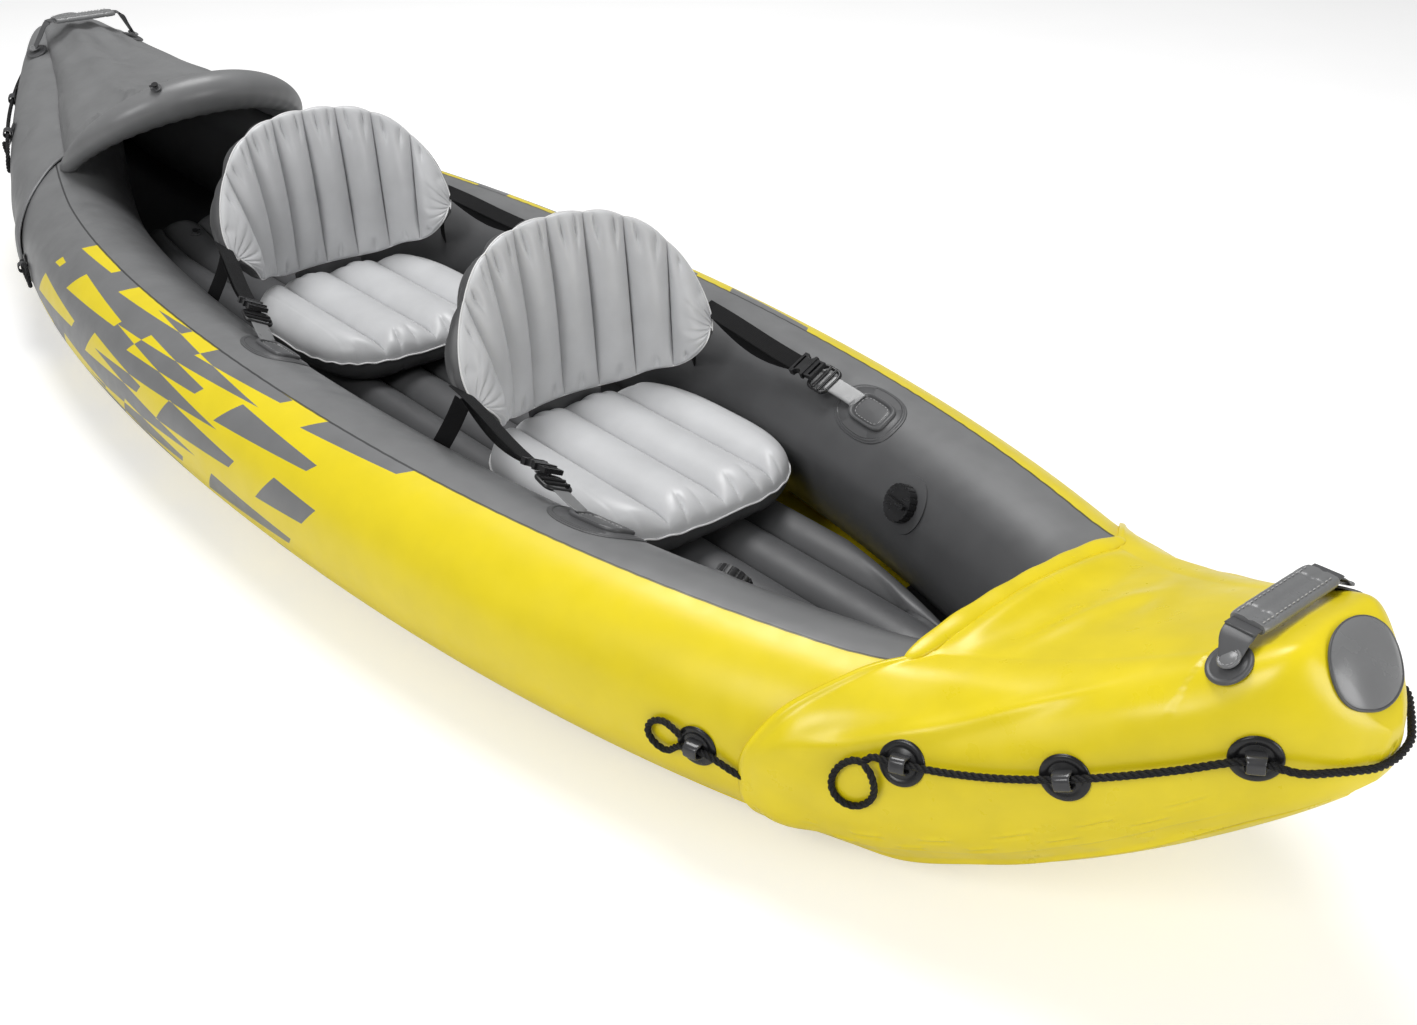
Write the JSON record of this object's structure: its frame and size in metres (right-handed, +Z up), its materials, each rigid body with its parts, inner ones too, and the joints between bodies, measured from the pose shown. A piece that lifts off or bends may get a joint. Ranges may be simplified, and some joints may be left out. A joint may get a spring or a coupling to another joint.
{
  "type": "inflatable tandem kayak",
  "caption": "Inflatable tandem kayak with side chambers, lift-out floor, bow and stern covers, coaming arch, padded seats with tilting backrests, grab lines and carry handles.",
  "frame": {"origin": "middle of the boat's length and beam, on the ground under the belly", "axes": "+X to the bow, +Y to port, +Z up"},
  "size_m": [3.1428, 0.9, 0.4556],
  "materials": {
    "hull_yellow": "satin vinyl",
    "hull_grey": "satin vinyl",
    "floor_grey": "matte vinyl",
    "seat_grey": "woven cover",
    "patch_grey": "matte vinyl",
    "webbing": "woven webbing",
    "rope": "twisted cord",
    "black_plastic": "moulded",
    "clear_plastic": "clear vinyl"
  },
  "bodies": {
    "hull": {"starboard_chamber": "hull_yellow", "port_chamber": "hull_yellow", "bottom_sheet": "hull_yellow", "inflatable_floor": "floor_grey", "bow_cover": "hull_yellow", "bow_deck_rim": "hull_yellow", "bow_nose_cap": "hull_grey", "stern_cover": "hull_grey", "stern_end_cap": "hull_grey", "coaming_arch": "hull_grey", "front_seat_base": "seat_grey", "rear_seat_base": "seat_grey", "front_seat_straps": "webbing", "rear_seat_straps": "webbing", "strap_buckles": "black_plastic", "strap_patches": "patch_grey", "bow_handle_patches": "patch_grey", "stern_handle_patches": "patch_grey", "bow_rope_fittings": "black_plastic", "bow_grab_line": "rope", "stern_rope_fittings": "black_plastic", "stern_grab_line": "rope", "side_rope_fittings": "black_plastic", "cover_ties": "rope", "starboard_valve_base": "floor_grey", "port_valve_base": "floor_grey", "floor_valve": "hull_grey", "arch_valve": "hull_grey", "front_seat_valve": "clear_plastic", "rear_seat_valve": "clear_plastic"},
    "front_back": {"front_backrest": "seat_grey", "front_backrest_valve": "clear_plastic"},
    "rear_back": {"rear_backrest": "seat_grey", "rear_backrest_valve": "clear_plastic"},
    "bow_handle": {"bow_handle_strap": "webbing", "bow_handle_grip": "patch_grey"},
    "stern_handle": {"stern_handle_strap": "webbing", "stern_handle_grip": "patch_grey"},
    "starboard_cap": {"starboard_valve_cap": "black_plastic"},
    "port_cap": {"port_valve_cap": "black_plastic"},
    "floor_plug": {"floor_valve_plug": "black_plastic"},
    "arch_plug": {"arch_valve_plug": "black_plastic"},
    "front_base_plug": {"front_seat_plug": "clear_plastic"},
    "rear_base_plug": {"rear_seat_plug": "clear_plastic"},
    "front_back_plug": {"front_backrest_plug": "clear_plastic"},
    "rear_back_plug": {"rear_backrest_plug": "clear_plastic"}
  },
  "joints": [
    {"name": "front_backrest_tilt", "type": "hinge", "parent": "hull", "child": "front_back", "pos_m": [0.322, 0, 0.1897], "axis": [0, 1, 0], "range_deg": [-15, 20], "deforming": ["front_seat_straps"]},
    {"name": "rear_backrest_tilt", "type": "hinge", "parent": "hull", "child": "rear_back", "pos_m": [-0.382, 0, 0.1897], "axis": [0, 1, 0], "range_deg": [-15, 20], "deforming": ["rear_seat_straps"]},
    {"name": "bow_handle_swing", "type": "hinge", "parent": "hull", "child": "bow_handle", "pos_m": [1.445, 0, 0.3765], "axis": [0, -1, 0], "range_deg": [0, 25]},
    {"name": "stern_handle_swing", "type": "hinge", "parent": "hull", "child": "stern_handle", "pos_m": [-1.382, 0, 0.39583], "axis": [0, 1, 0], "range_deg": [0, 20]},
    {"name": "starboard_cap_turn", "type": "hinge", "parent": "hull", "child": "starboard_cap", "pos_m": [0.858, -0.1481, 0.18447], "axis": [-0.2066, 0.8802, 0.4273], "range_deg": [0, 540]},
    {"name": "port_cap_turn", "type": "hinge", "parent": "hull", "child": "port_cap", "pos_m": [0.858, 0.1481, 0.18447], "axis": [-0.2066, -0.8802, 0.4273], "range_deg": [0, 540]},
    {"name": "floor_plug_pull", "type": "slide", "parent": "hull", "child": "floor_plug", "axis": [0.1611, 0, 0.9869], "range_m": [0, 0.008]},
    {"name": "arch_plug_pull", "type": "slide", "parent": "hull", "child": "arch_plug", "axis": [0.3513, -0.2924, 0.8894], "range_m": [0, 0.008]},
    {"name": "front_base_plug_pull", "type": "slide", "parent": "hull", "child": "front_base_plug", "axis": [-0.9202, -0.3915, 0], "range_m": [0, 0.008]},
    {"name": "rear_base_plug_pull", "type": "slide", "parent": "hull", "child": "rear_base_plug", "axis": [-0.9202, -0.3915, 0], "range_m": [0, 0.008]},
    {"name": "front_back_plug_pull", "type": "slide", "parent": "front_back", "child": "front_back_plug", "axis": [-0.9068, -0.3579, -0.2227], "range_m": [0, 0.008]},
    {"name": "rear_back_plug_pull", "type": "slide", "parent": "rear_back", "child": "rear_back_plug", "axis": [-0.9068, -0.3579, -0.2227], "range_m": [0, 0.008]}
  ]
}
